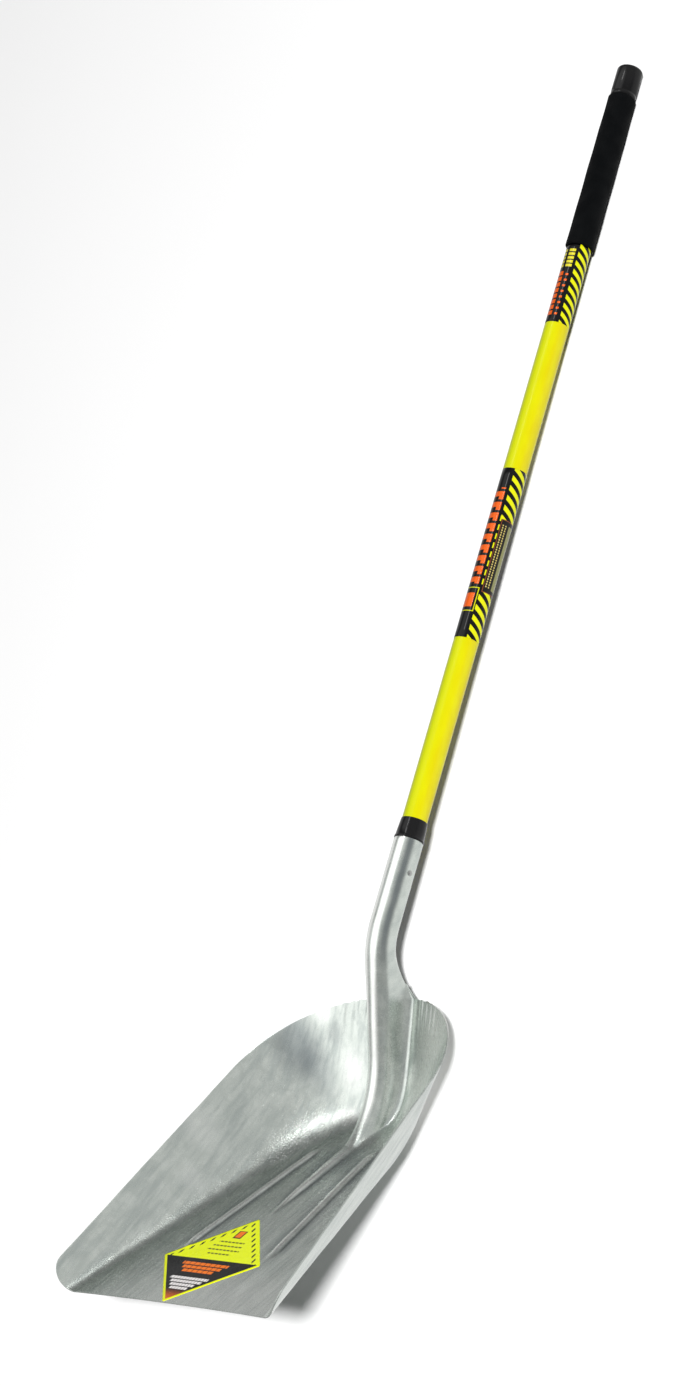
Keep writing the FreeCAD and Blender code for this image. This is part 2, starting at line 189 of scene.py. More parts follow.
def corner_arc(centre, radius, start, end, steps=6):
    """Points of a fillet in (reach, radius) space; angles in degrees from the reach axis."""
    turn = np.radians(np.linspace(start, end, steps + 1))
    return [(centre[0] + radius * math.cos(t), centre[1] + radius * math.sin(t)) for t in turn]

# --- Blade surface ---


HALVINGS = 40


def blend(low, high, share):
    return low + (high - low) * share


def halved(low, high, is_short):
    """Value between low and high at which is_short turns false, by halving the gap."""
    for _ in range(HALVINGS):
        middle = (low + high) / 2
        if is_short(middle):
            low = middle
        else:
            high = middle
    return middle


def half_width(level, reach):
    """Half width of the tray at a level: 0 is the edge of the floor and 1 is the rim."""
    half, taper, bend, back = (blend(FOOT[key], RIM[key], level) for key in RIM)
    straight = half - taper * reach
    turn = np.maximum((reach - bend) / (back - bend), 0)
    rounded = straight * np.sqrt(np.maximum(1 - turn * turn, 0))
    return np.where(turn < 1, rounded, (1 - turn) * straight)


def wall_level(across, reach):
    """Level of the wall that passes through each plan position."""
    low = np.full(np.shape(across), -1.0)
    high = np.full(np.shape(across), 1.4)
    for _ in range(HALVINGS):
        middle = (low + high) / 2
        inside = half_width(middle, reach) < np.abs(across)
        low = np.where(inside, middle, low)
        high = np.where(inside, high, middle)
    return (low + high) / 2


def rim_height(reach):
    past = np.maximum(reach - WALL_EASE, 0)
    return WALL_FRONT + WALL_RISE * reach - WALL_RISE * past * past / (2 * (RIM["back"] - WALL_EASE))


SIDE_RIB = {"near": (46.7, 322.0), "far": (77.0, 92.0), "half": 8.0, "rise": 3.0, "fade": 26.0}
CENTRE_RIB = {"near": 322.0, "far": 168.0, "half_near": 16.0, "half_far": 4.0, "rise": 3.6}


def rib_rise(across, reach, widen=1.0):
    """Shallow pressed ribs on the floor: one each side and one running out of the frog."""
    near, far = np.array(SIDE_RIB["near"]), np.array(SIDE_RIB["far"])
    length = np.linalg.norm(far - near)
    line = (far - near) / length
    run = (np.abs(across) - near[0]) * line[0] + (reach - near[1]) * line[1]
    off = (np.abs(across) - near[0]) * line[1] - (reach - near[1]) * line[0]
    ends = smoothstep(0, SIDE_RIB["fade"], run) * (1 - smoothstep(length - SIDE_RIB["fade"], length, run))
    side = SIDE_RIB["rise"] * ends * (1 - smoothstep(0.25, 1, np.abs(off) / SIDE_RIB["half"] / widen))
    part = np.clip((CENTRE_RIB["near"] - reach) / (CENTRE_RIB["near"] - CENTRE_RIB["far"]), 0, 1)
    half = blend(CENTRE_RIB["half_near"], CENTRE_RIB["half_far"], part) * widen
    centre = CENTRE_RIB["rise"] * (1 - smoothstep(0.6, 1, part))
    return np.maximum(side, centre * (1 - smoothstep(0.2, 1, np.abs(across) / half)))


def tray_height(across, reach):
    level = wall_level(across, reach)
    soft = FOLD_SOFTNESS
    eased = np.where(level < soft, np.maximum(level + soft, 0) ** 2 / (4 * soft), level)
    return eased * rim_height(reach) + rib_rise(across, reach)


ARC_ALLOWANCE = 1.1
BACK_EASE = 0.5


def rim_plan(share):
    """Half width and reach of the rim: share runs from the front corner to the back edge."""
    straight_length = RIM["bend"] - RIM_FRONT
    depth = RIM["back"] - RIM["bend"]
    last_angle = math.acos(BACK_HALF / (RIM["half"] - RIM["taper"] * RIM["back"]))
    curve_length = depth * last_angle * ARC_ALLOWANCE
    travelled = share * (straight_length + curve_length)
    if travelled < straight_length:
        reach = RIM_FRONT + travelled
    else:
        reach = RIM["bend"] + depth * math.sin((travelled - straight_length) / curve_length * last_angle)
    short = max(CORNER_ROUND - travelled, 0)
    rounding = CORNER_ROUND - math.sqrt(CORNER_ROUND ** 2 - short ** 2)
    return float(half_width(1 - rounding / WALL_FRONT, reach)), reach


def centre_reach(share):
    """Where the row that starts at the rim's share crosses the middle of the blade."""
    if share <= 0.5:
        return rim_plan(share)[1] + FRONT_HOLLOW * (1 - share / 0.5) ** 4
    part = (share - 0.5) / 0.5
    return blend(rim_plan(0.5)[1], RIM["back"], (1 + BACK_EASE) * part - BACK_EASE * part * part)


def share_of(middle_reach):
    """Rim share of the row that crosses the middle of the blade at a reach."""
    return halved(0.0, 1.0, lambda share: centre_reach(share) < middle_reach)


def bend_points():
    """Points of the neck's axis: foot of the straight socket, top of the straight neck, foot of the neck."""
    turn = NECK_LIFT - HANDLE_LIFT
    tangent = NECK_BEND_RADIUS * math.tan(math.radians(turn / 2))
    corner = COLLAR_TOP - along(HANDLE_LIFT) * NECK_BEND_DROP
    socket_foot = corner + along(HANDLE_LIFT) * tangent
    neck_top = corner - along(NECK_LIFT) * tangent
    crest = neck_top + crestward(NECK_LIFT) * NECK_RADIUS
    arc_rise = FROG_ARC * (math.cos(math.radians(FROG_END_LIFT)) - math.cos(math.radians(NECK_LIFT)))
    drop = (crest[2] - arc_rise) / math.sin(math.radians(NECK_LIFT))
    return socket_foot, neck_top, neck_top - along(NECK_LIFT) * drop


SOCKET_FOOT, NECK_TOP, NECK_FOOT = bend_points()
FROG_CENTRE = NECK_FOOT + crestward(NECK_LIFT) * (FROG_ARC + NECK_RADIUS)


# every half millimetre along the middle of the tray
MIDDLE_LINE = np.linspace(0, RIM["back"], 957)
MIDDLE_HEIGHT = tray_height(np.zeros_like(MIDDLE_LINE), MIDDLE_LINE)


def below_crest(crest, lift):
    """Depth from the crest, square to it, down to the middle of the tray; and the reach it lands on."""
    down = -crestward(lift)

    def above_tray(depth):
        point = crest + down * depth
        return point[2] > np.interp(point[1], MIDDLE_LINE, MIDDLE_HEIGHT)

    depth = halved(-3.0, 80.0, above_tray)
    return depth, (crest + down * depth)[1]


def frog_rows():
    """Rows from the frog's tip on the floor up to the back rim: (lift, height, centre reach, crest)."""
    rows = []
    for lift in np.linspace(FROG_END_LIFT, NECK_LIFT, 46):
        crest = FROG_CENTRE - crestward(lift) * FROG_ARC
        depth, reach = below_crest(crest, lift)
        rows.append((lift, max(depth, 0.0), reach, crest))
    start = rows[-1][3]

    def inside_rim(travel):
        return below_crest(start + along(NECK_LIFT) * travel, NECK_LIFT)[1] < RIM["back"] - 0.05

    for step in np.linspace(0, halved(0.0, 90.0, inside_rim), 29)[1:]:
        crest = start + along(NECK_LIFT) * step
        depth, reach = below_crest(crest, NECK_LIFT)
        rows.append((NECK_LIFT, depth, reach, crest))
    return rows


ARCH_STEPS, SIDE_STEPS, WING_STEPS = 16, 16, 96
ARCH = np.radians(np.linspace(0, 90, ARCH_STEPS + 1))
SIDE = np.radians(np.linspace(0, 90, SIDE_STEPS + 1)[1:])
FROG_FOOT = NECK_RADIUS + NECK_FLARE


def frog_section(height):
    """Half section of the frog, crest to foot, as (across, rise above the tray)."""
    cap = min(NECK_RADIUS, 0.85 * height)
    across = np.concatenate([NECK_RADIUS * np.sin(ARCH), NECK_RADIUS + NECK_FLARE * (1 - np.cos(SIDE))])
    rise = np.concatenate([height - cap * (1 - np.cos(ARCH)), (height - cap) * (1 - np.sin(SIDE))])
    step = np.linspace(0, 1, ARCH_STEPS + SIDE_STEPS + 1)
    gentle_rise = height * (0.5 + 0.5 * np.cos(math.pi * step))
    weight = smoothstep(0.3 * NECK_RADIUS, 1.25 * NECK_RADIUS, height)
    return blend(step * FROG_FOOT, across, weight), blend(gentle_rise, rise, weight)


def tray_row(middle_reach, lift, height):
    """One row of the right half of the blade, from the crest out to the rim."""
    rim_across, rim_reach = rim_plan(share_of(middle_reach))
    inner, rise = frog_section(height)
    step = np.linspace(0, 1, WING_STEPS + 1)[1:]
    outer = FROG_FOOT + (rim_across - FROG_FOOT) * blend(step, step ** 0.8, 0.5)
    across = np.concatenate([inner, outer])
    reach = blend(middle_reach, rim_reach, (across / rim_across) ** 2)
    points = np.stack([across, reach, tray_height(across, reach)], 1)
    points[: len(inner)] += np.outer(rise, crestward(lift))
    return points


def neck_stations():
    """Axis points and lifts from the back rim up to the socket's mouth."""
    crest = frog_rows()[-1][3]
    rim_axis = crest - crestward(NECK_LIFT) * NECK_RADIUS
    stations = []
    straight = np.linalg.norm(NECK_TOP - rim_axis)
    for travel in np.linspace(0, straight, 26)[1:]:
        stations.append((rim_axis + along(NECK_LIFT) * travel, NECK_LIFT, travel))
    arc_centre = SOCKET_FOOT - crestward(HANDLE_LIFT) * NECK_BEND_RADIUS
    arc_length = math.radians(NECK_LIFT - HANDLE_LIFT) * NECK_BEND_RADIUS
    for lift in np.linspace(NECK_LIFT, HANDLE_LIFT, 17)[1:]:
        part = (NECK_LIFT - lift) / (NECK_LIFT - HANDLE_LIFT)
        point = arc_centre + crestward(lift) * NECK_BEND_RADIUS
        stations.append((point, lift, straight + part * arc_length))
    socket = np.linalg.norm(COLLAR_TOP - SOCKET_FOOT) - COLLAR_HEIGHT
    for travel in np.linspace(0, socket, 29)[1:]:
        point = SOCKET_FOOT + along(HANDLE_LIFT) * travel
        stations.append((point, HANDLE_LIFT, straight + arc_length + travel))
    return stations


# how far up the neck its open skirt has rolled shut, and how quickly it does
CLOSING_END, FLARE_CURVE = 64.0, 1.9


def neck_row(centre, lift, travel, skirt, leftover):
    """One row of the right half of the neck, from the crest round to the seam at the back."""
    seam = math.radians(90) - SEAM_HALF / NECK_RADIUS
    back = SIDE / math.radians(90) * seam
    closing = 1 - (1 - min(travel / CLOSING_END, 1)) ** FLARE_CURVE
    open_across = NECK_RADIUS + NECK_FLARE * (1 - np.cos(SIDE))
    open_rise = -skirt * np.sin(SIDE)
    side_across = blend(open_across, NECK_RADIUS * np.cos(back), closing)
    side_rise = blend(open_rise, -NECK_RADIUS * np.sin(back), closing)
    across = np.concatenate([NECK_RADIUS * np.sin(ARCH), side_across])
    rise = np.concatenate([NECK_RADIUS * np.cos(ARCH), side_rise])
    points = centre + np.outer(across, [1.0, 0.0, 0.0]) + np.outer(rise, crestward(lift))
    return points + leftover * (1 - smoothstep(0, CLOSING_END / 2, travel))


FRONT_CROWDING = 0.85


def blade_rows():
    """Right halves of the rows, front edge to socket's mouth, and how many of them are tray."""
    rows = []
    frog = frog_rows()
    tip_reach = frog[0][2]
    front = centre_reach(0.0)
    for step in np.linspace(0, 1, 101)[:-1]:
        crowded = step + FRONT_CROWDING * step * (1 - step) * (step - 1)
        rows.append(tray_row(front + (tip_reach - front) * crowded, 0.0, 0.0))
    rows += [tray_row(reach, lift, height) for lift, height, reach, _ in frog]
    neck_columns = ARCH_STEPS + SIDE_STEPS + 1
    centre = frog[-1][3] - crestward(NECK_LIFT) * NECK_RADIUS
    skirt = frog[-1][1] - NECK_RADIUS
    ideal = neck_row(centre, NECK_LIFT, 0.0, skirt, 0.0)
    leftover = rows[-1][:neck_columns] - ideal
    tray_count = len(rows)
    rows += [neck_row(*station, skirt, leftover) for station in neck_stations()]
    return rows, tray_count


# Painted light: the metal's colour is lightened or darkened at fixed places on the sheet, as painted
# reflections, highlights and shade. It stands in for reflections that the lights alone don't give.
PAINTED_REFLECTION_SPOTS = (
    # across, reach, radius, strength
    (-128, 402, 34, -0.75),
    (-96, 396, 26, -0.45),
    (-106, 444, 15, 0.6),
    (-88, 434, 12, -0.5),
    (-58, 414, 20, 0.55),
    (-46, 372, 15, 0.6),
    (40, 418, 13, 0.8),
    (45, 392, 15, 0.9),
    (50, 366, 15, 0.8),
    (95, 425, 60, 1.0),
    (72, 385, 36, 0.8),
    (-170, 250, 26, 0.25),
    (-150, 196, 16, 0.25),
)
SPOT_EDGE = 0.2, 1.25
# painted highlight on the rib crests and painted shade beside them, fading out before the frog; painted
# highlight at the front edge; strength of the painted stripes
RIB_PAINTED_HIGHLIGHT, RIB_SHADE, RIB_SHADE_WIDTH, RIB_PAINTED_LIGHT_END = 0.95, 0.75, 2.6, (290, 335)
FRONT_PAINTED_HIGHLIGHT, PAINTED_STRIPE_STRENGTH = 0.4, 0.9
# painted highlight stripe along the frog, neck and socket, and painted shade stripe up the neck and socket:
# degrees from the crest, half width, share of it at full strength
CREST_PAINTED_HIGHLIGHT, SOCKET_PAINTED_SHADE = (17.0, 18.0, 0.4), (57.0, 20.0, 0.2)


def stripe(turn, middle, half, core):
    return 1 - smoothstep(core, 1.0, np.abs(turn - middle) / half)


def tray_painted_light(points):
    """Painted light of the tray: painted highlights on the ribs with painted shade beside them, a painted
    highlight at the front edge, the frog's painted highlight stripe and the painted reflection spots.
    """
    across, reach, rise = points.T
    ribs = rib_rise(across, reach) / SIDE_RIB["rise"]
    beside = np.clip(rib_rise(across, reach, RIB_SHADE_WIDTH) / SIDE_RIB["rise"] - ribs, 0, 1)
    painted_light = (RIB_PAINTED_HIGHLIGHT * np.clip(ribs, 0, 1) - RIB_SHADE * beside) * (1 - smoothstep(*RIB_PAINTED_LIGHT_END, reach))
    front = (1 - smoothstep(20, 90, reach)) * (1 - smoothstep(4, 20, rise)) * smoothstep(-90, 0, across)
    on_frog = smoothstep(330, 380, reach) * (1 - smoothstep(NECK_RADIUS, NECK_RADIUS + 3, np.abs(across)))
    turn = np.degrees(np.arcsin(np.clip(np.abs(across) / NECK_RADIUS, 0, 1)))
    painted_light += FRONT_PAINTED_HIGHLIGHT * front + PAINTED_STRIPE_STRENGTH * on_frog * stripe(turn, *CREST_PAINTED_HIGHLIGHT)
    for spot_across, spot_reach, radius, strength in PAINTED_REFLECTION_SPOTS:
        apart = np.hypot(across - spot_across, reach - spot_reach) / radius
        painted_light += strength * (1 - smoothstep(*SPOT_EDGE, apart))
    return painted_light


def neck_painted_light(part):
    """Painted light of one row, by its part of the neck: a painted highlight stripe, and a painted shade
    stripe that starts part way up.
    """
    turn = np.abs(np.arange(-ARCH_STEPS - SIDE_STEPS, ARCH_STEPS + SIDE_STEPS + 1)) * 90.0 / ARCH_STEPS
    shade = stripe(turn, *SOCKET_PAINTED_SHADE) * smoothstep(0.15, 0.55, part)
    return PAINTED_STRIPE_STRENGTH * (stripe(turn, *CREST_PAINTED_HIGHLIGHT) - shade)


def mirrored(row):
    """Full row from left to right, from its right half."""
    left = row[:0:-1] * [-1.0, 1.0, 1.0]
    return np.concatenate([left, row])


def soft_dents(points):
    """Shallow waviness that a pressed sheet picks up in use; the frog and socket stay truer."""
    x, y, _ = points.T
    wave = 0.30 * np.sin(x / 23 + 1.3 * np.sin(y / 41)) * np.sin(y / 37 + 0.9 * np.sin(x / 29))
    wave += 0.16 * np.sin(x / 11.0 + y / 17.0) * np.sin(y / 13.0 - x / 19.0 + 1.0)
    return wave * smoothstep(26, 60, np.abs(x)) * smoothstep(6, 40, y)


def shoulder_flutes(points):
    """Short gathers pressed into the back wall, each side of the neck, just below the rim."""
    x, y, z = points.T
    near_rim = smoothstep(0.55, 1.0, z / 118.0) * smoothstep(395, 450, y)
    band = smoothstep(34, 46, np.abs(x)) * (1 - smoothstep(78, 96, np.abs(x)))
    return 0.9 * near_rim * band * np.sin(np.abs(x) / 1.75)


def make_blade(material):
    rows, tray_count = blade_rows()
    rows = [mirrored(row) for row in rows]
    starts = np.cumsum([0] + [len(row) for row in rows]).tolist()
    overhang = (len(rows[0]) - len(rows[-1])) // 2
    faces = []
    for number in range(1, len(rows)):
        here, there = starts[number - 1], starts[number]
        if number == tray_count:
            here += overhang
        for column in range(min(len(rows[number - 1]), len(rows[number])) - 1):
            low, high = here + column, there + column
            faces.append((low, low + 1, high + 1, high))
    points = np.concatenate(rows)
    tray = points[: starts[tray_count]]
    neck_rows = len(rows) - tray_count
    # painted highlights, reflections and shade for the metal's colour, kept on the points of the tray and
    # neck
    painted_light = [tray_painted_light(tray)] + [neck_painted_light(number / neck_rows) for number in range(neck_rows)]
    tray[:, 2] += soft_dents(tray) + shoulder_flutes(tray)
    values = dict(zip(("across_mm", "reach_mm", "rise_mm"), points.T), painted_light_and_shade=np.concatenate(painted_light))
    piece = add_piece(
        "scoop_blade_pressed", points, faces, material, "scoop_blade", values
    )
    thickness = piece.modifiers.new("gauge", "SOLIDIFY")
    thickness.thickness = SHEET * MM
    thickness.offset = -1
    thickness.use_even_offset = True
    edge = piece.modifiers.new("edge", "BEVEL")
    edge.width = 0.35 * MM
    edge.segments = 2
    edge.limit_method = "ANGLE"
    edge.angle_limit = math.radians(55)


# --- Handle and what is on it ---


def make_handle(material):
    end, soft = HANDLE_REACH, 0.8
    profile = [(-HANDLE_INSERT, HANDLE_BORE), (-HANDLE_INSERT, HANDLE_RADIUS), (0, HANDLE_RADIUS)]
    profile += [(GRIP_START, HANDLE_RADIUS), (end - soft, HANDLE_RADIUS), (end, HANDLE_RADIUS - soft)]
    profile += [(end, HANDLE_BORE)]
    return turned("handle_tube_fibreglass", profile, material, "handle_tube")


def make_collar(material):
    """Ferrule with a rounded lip at its base, a rolled edge at its top and a sleeve inside the socket."""
    sleeve, foot = NECK_RADIUS - SHEET, -COLLAR_HEIGHT
    taper = (COLLAR_TOP_RADIUS - COLLAR_BASE_RADIUS) / COLLAR_HEIGHT
    lip, lip_round, edge = 3.2, 0.7, 0.8
    profile = [(foot - SLEEVE_DEPTH, HANDLE_RADIUS), (foot - SLEEVE_DEPTH, sleeve), (foot, sleeve)]
    profile += corner_arc((foot + lip_round, COLLAR_BASE_RADIUS - lip_round), lip_round, 180, 90)
    profile += corner_arc((foot + lip - lip_round, COLLAR_BASE_RADIUS - lip_round), lip_round, 90, 20)
    profile += [(foot + lip + 0.5, COLLAR_BASE_RADIUS + taper * lip - 0.45)]
    profile += [(foot + 12, COLLAR_BASE_RADIUS + taper * 12 - 0.2), (-4, COLLAR_BASE_RADIUS + taper * 23)]
    profile += corner_arc((-edge, COLLAR_TOP_RADIUS - edge), edge, 90, 10)
    profile += [(0, HANDLE_RADIUS)]
    return turned("socket_collar_moulded", profile, material, "socket_collar")


def make_grip(material):
    """Foam sleeve: slightly uneven along its length, soft at both ends."""
    ripple, soft = 0.28, 2.6

    def uneven(angle, reach, radius):
        inside = smoothstep(HANDLE_RADIUS + 0.5, GRIP_RADIUS - 1, radius)
        wave = np.sin(reach / 9.5 + 0.6 * np.sin(np.radians(angle)))
        wave += 0.7 * np.sin(reach / 23 + np.radians(2 * angle))
        return inside * ripple * (wave - 1.7) * 0.5

    profile = [(GRIP_START, HANDLE_RADIUS)]
    profile += corner_arc((GRIP_START + soft, GRIP_RADIUS - soft), soft, 180, 90, 8)
    profile += [(reach, GRIP_RADIUS) for reach in np.linspace(GRIP_START + soft, GRIP_END - soft, 90)[1:-1]]
    profile += corner_arc((GRIP_END - soft, GRIP_RADIUS - soft), soft, 90, 0, 8)
    profile += [(GRIP_END, HANDLE_RADIUS)]
    piece = turned("foam_grip_sleeve", profile, material, "foam_grip", wobble=uneven)
    return piece


def make_cap(material):
    """Moulded cap: a shallow band at its mouth, smooth side, well rounded end with a shallow recess."""
    end, radius, bulge, band = CAP_END, CAP_RADIUS, 5.0, 6.0
    recess, recess_radius = 1.2, 9.0
    profile = [(GRIP_END, HANDLE_RADIUS), (GRIP_END, radius - 0.2)]
    profile += [(GRIP_END + band - 0.6, radius - 0.2), (GRIP_END + band, radius - 0.7)]
    profile += [(GRIP_END + band + 0.8, radius - 0.7), (GRIP_END + band + 1.4, radius)]
    profile += corner_arc((end - bulge, radius - bulge), bulge, 90, 0, 14)
    profile += [(end, recess_radius + 0.6), (end - 0.4, recess_radius), (end - recess, recess_radius - 0.8)]
    profile += [(end - recess, 0.4), (HANDLE_REACH, 0.4), (HANDLE_REACH, HANDLE_RADIUS)]
    return turned("end_cap_moulded", profile, material, "end_cap")


def make_film(name, span, material, replaces):
    """Printed film wrapped round the handle, with softened edges."""
    low, high = span
    outer, soft = HANDLE_RADIUS + FILM, 0.08
    profile = [(low, HANDLE_RADIUS), (low, outer - soft), (low + soft, outer)]
    profile += [(reach, outer) for reach in np.linspace(low, high, 25)[1:-1]]
    profile += [(high - soft, outer), (high, outer - soft), (high, HANDLE_RADIUS)]
    return turned(name, profile, material, replaces)


def make_rivet(material):
    """Through rivet with two domed heads, turned about the line across the socket."""
    around, steps = 40, 8
    dome = (RIVET_HEAD ** 2 + RIVET_DOME ** 2) / (2 * RIVET_DOME)
    shank = 2.4
    half = [(0.0, shank), (NECK_RADIUS, shank), (NECK_RADIUS, RIVET_HEAD), (NECK_RADIUS + 0.25, RIVET_HEAD)]
    for turn in np.linspace(math.asin(RIVET_HEAD / dome), 0, steps)[1:-1]:
        half.append((NECK_RADIUS + RIVET_DOME - dome * (1 - math.cos(turn)), dome * math.sin(turn)))
    half.append((NECK_RADIUS + RIVET_DOME, 0.02))
    profile = [(-across, radius) for across, radius in reversed(half[1:])] + half
    centre = COLLAR_TOP - along(HANDLE_LIFT) * RIVET_DROP
    turns = np.arange(around) * 2 * math.pi / around
    sides = np.outer(np.cos(turns), along(HANDLE_LIFT)) + np.outer(np.sin(turns), crestward(HANDLE_LIFT))
    points = np.concatenate([centre + [across, 0, 0] + sides * radius for across, radius in profile])
    faces = ring_faces(len(profile), around)
    last = (len(profile) - 1) * around
    faces += [tuple(reversed(range(around))), tuple(range(last, last + around))]
    return add_piece("socket_rivet_domed", points, faces, material, "socket_rivet")


def make_sticker(material):
    """Square film laid corner to corner on the blade's floor, following the sheet under it."""
    steps, corner = 72, 2.5
    side = STICKER_HALF * math.sqrt(2)
    inner = side / 2 - corner
    grid = np.linspace(-1, 1, steps + 1)
    u, v = (axis.ravel() * side / 2 for axis in np.meshgrid(grid, grid, indexing="ij"))
    past_u, past_v = np.maximum(np.abs(u) - inner, 0), np.maximum(np.abs(v) - inner, 0)
    reached = np.hypot(past_u, past_v)
    pull = np.where(reached > corner, corner / np.maximum(reached, corner), 1)
    u = np.sign(u) * (np.minimum(np.abs(u), inner) + past_u * pull)
    v = np.sign(v) * (np.minimum(np.abs(v), inner) + past_v * pull)
    across, ahead = (u - v) / math.sqrt(2), (u + v) / math.sqrt(2)
    flat = np.stack([across + STICKER_AT[0], ahead + STICKER_AT[1], np.zeros(len(u))], 1)
    flat[:, 2] = tray_height(flat[:, 0], flat[:, 1]) + soft_dents(flat)
    count = steps + 1
    top = flat + [0, 0, FILM + 0.1]
    bottom = flat + [0, 0, 0.02]
    points = np.concatenate([top, bottom])
    faces = []
    for row in range(steps):
        for column in range(steps):
            low = row * count + column
            quad = (low, low + count, low + count + 1, low + 1)
            faces.append(quad)
            faces.append(tuple(index + count * count for index in reversed(quad)))
    edge = [row * count for row in range(count)]
    edge += [steps * count + column for column in range(1, count)]
    edge += [row * count + steps for row in range(steps - 1, -1, -1)]
    edge += [column for column in range(steps - 1, 0, -1)]
    for here, there in zip(edge, edge[1:] + edge[:1]):
        faces.append((here, here + count * count, there + count * count, there))
    values = {"across_mm": np.tile(across, 2), "ahead_mm": np.tile(ahead, 2)}
    return add_piece("blade_sticker_film", points, faces, material, "blade_sticker", values)


# --- Material helpers ---


def colour(red, green, blue):
    """Linear colour from the 0 to 255 values that a screen shows."""
    parts = [value / 255 for value in (red, green, blue)]
    linear = [part / 12.92 if part <= 0.04045 else ((part + 0.055) / 1.055) ** 2.4 for part in parts]
    return (*linear, 1.0)


class Graph:
    """Short calls for the nodes of one node tree."""

    def __init__(self, tree):
        self.tree = tree

    def node(self, kind, inputs=(), **settings):
        made = self.tree.nodes.new(kind)
        for name, value in settings.items():
            setattr(made, name, value)
        for socket, value in dict(inputs).items():
            self.feed(made.inputs[socket], value)
        return made

    def feed(self, socket, value):
        if isinstance(value, bpy.types.NodeSocket):
            self.tree.links.new(value, socket)
        else:
            socket.default_value = value

    def value(self, name):
        return self.node("ShaderNodeAttribute", attribute_name=name).outputs["Fac"]

    def math(self, operation, first, second=0.0, third=0.0):
        return self.node("ShaderNodeMath", {0: first, 1: second, 2: third}, operation=operation).outputs[0]

    def joined(self, operation, values):
        """One value from several, taken in turn by a math operation."""
        total = values[0]
        for value in values[1:]:
            total = self.math(operation, total, value)
        return total

    def times(self, *values):
        return self.joined("MULTIPLY", values)

    def plus(self, *values):
        return self.joined("ADD", values)

    def either(self, *masks):
        return self.joined("MAXIMUM", masks)

    def place(self, x, y, z=0.0, scale=(1, 1, 1)):
        """Pattern coordinates from three values, each stretched by its scale."""
        return self.scaled(self.node("ShaderNodeCombineXYZ", {0: x, 1: y, 2: z}).outputs[0], scale)

    def scaled(self, place, scale):
        return self.node("ShaderNodeVectorMath", {0: place, 1: scale}, operation="MULTIPLY").outputs[0]

    def noise(self, place, scale=1.0, detail=3.0, roughness=0.55, distortion=0.0):
        inputs = {"Vector": place, "Scale": scale, "Detail": detail, "Roughness": roughness}
        return self.node("ShaderNodeTexNoise", {**inputs, "Distortion": distortion}).outputs["Fac"]

    def cells(self, place, scale):
        return self.node("ShaderNodeTexVoronoi", {"Vector": place, "Scale": scale}).outputs["Distance"]

    def spread(self, value, low, high, to_low=0.0, to_high=1.0, smooth=True):
        """Value carried from one range to another and held at its ends."""
        kind = "SMOOTHSTEP" if smooth else "LINEAR"
        inputs = {"Value": value, "From Min": low, "From Max": high, "To Min": to_low, "To Max": to_high}
        return self.node("ShaderNodeMapRange", inputs, interpolation_type=kind).outputs[0]

    def mix(self, share, first, second):
        return self.node("ShaderNodeMix", {0: share, 6: first, 7: second}, data_type="RGBA").outputs[2]

    def bump(self, height, strength, distance_mm, under=None):
        inputs = {"Height": height, "Strength": strength, "Distance": distance_mm * MM}
        if under is not None:
            inputs["Normal"] = under
        return self.node("ShaderNodeBump", inputs).outputs[0]

    def within(self, value, low, high, soft=0.0):
        """1 between low and high, else 0, with an edge of the given softness."""
        soft = max(soft, 1e-4)
        rise = self.spread(value, low - soft, low + soft, smooth=False)
        fall = self.spread(value, high - soft, high + soft, 1.0, 0.0, smooth=False)
        return self.times(rise, fall)

    def box(self, x, y, x_span, y_span, soft=0.0):
        return self.times(self.within(x, *x_span, soft), self.within(y, *y_span, soft))

    def every(self, value, period, low, high, soft=0.0):
        """1 in the stretch from low to high of each period, else 0."""
        part = self.math("PINGPONG", self.math("SUBTRACT", value, (low + high) / 2), period / 2)
        half = (high - low) / 2
        return self.spread(part, half - soft - 1e-4, half + soft + 1e-4, 1.0, 0.0, smooth=False)


class Finish(Graph):
    """A Principled material, the nodes that feed it, and the tone that its layers of colour make."""

    def __init__(self, name, **constants):
        self.material = bpy.data.materials.new(name)
        self.material.use_nodes = True
        super().__init__(self.material.node_tree)
        self.shader = self.tree.nodes["Principled BSDF"]
        self.tone = None
        for socket, value in constants.items():
            self.shader.inputs[socket.replace("_", " ").title().replace("Ior", "IOR")].default_value = value

    def drive(self, **values):
        for socket, value in values.items():
            self.feed(self.shader.inputs[socket.replace("_", " ").title()], value)

    def lay(self, mask, shade):
        """Lay a screen colour over the tone where the mask is 1."""
        self.tone = self.mix(mask, self.tone, colour(*shade))


# --- Materials ---


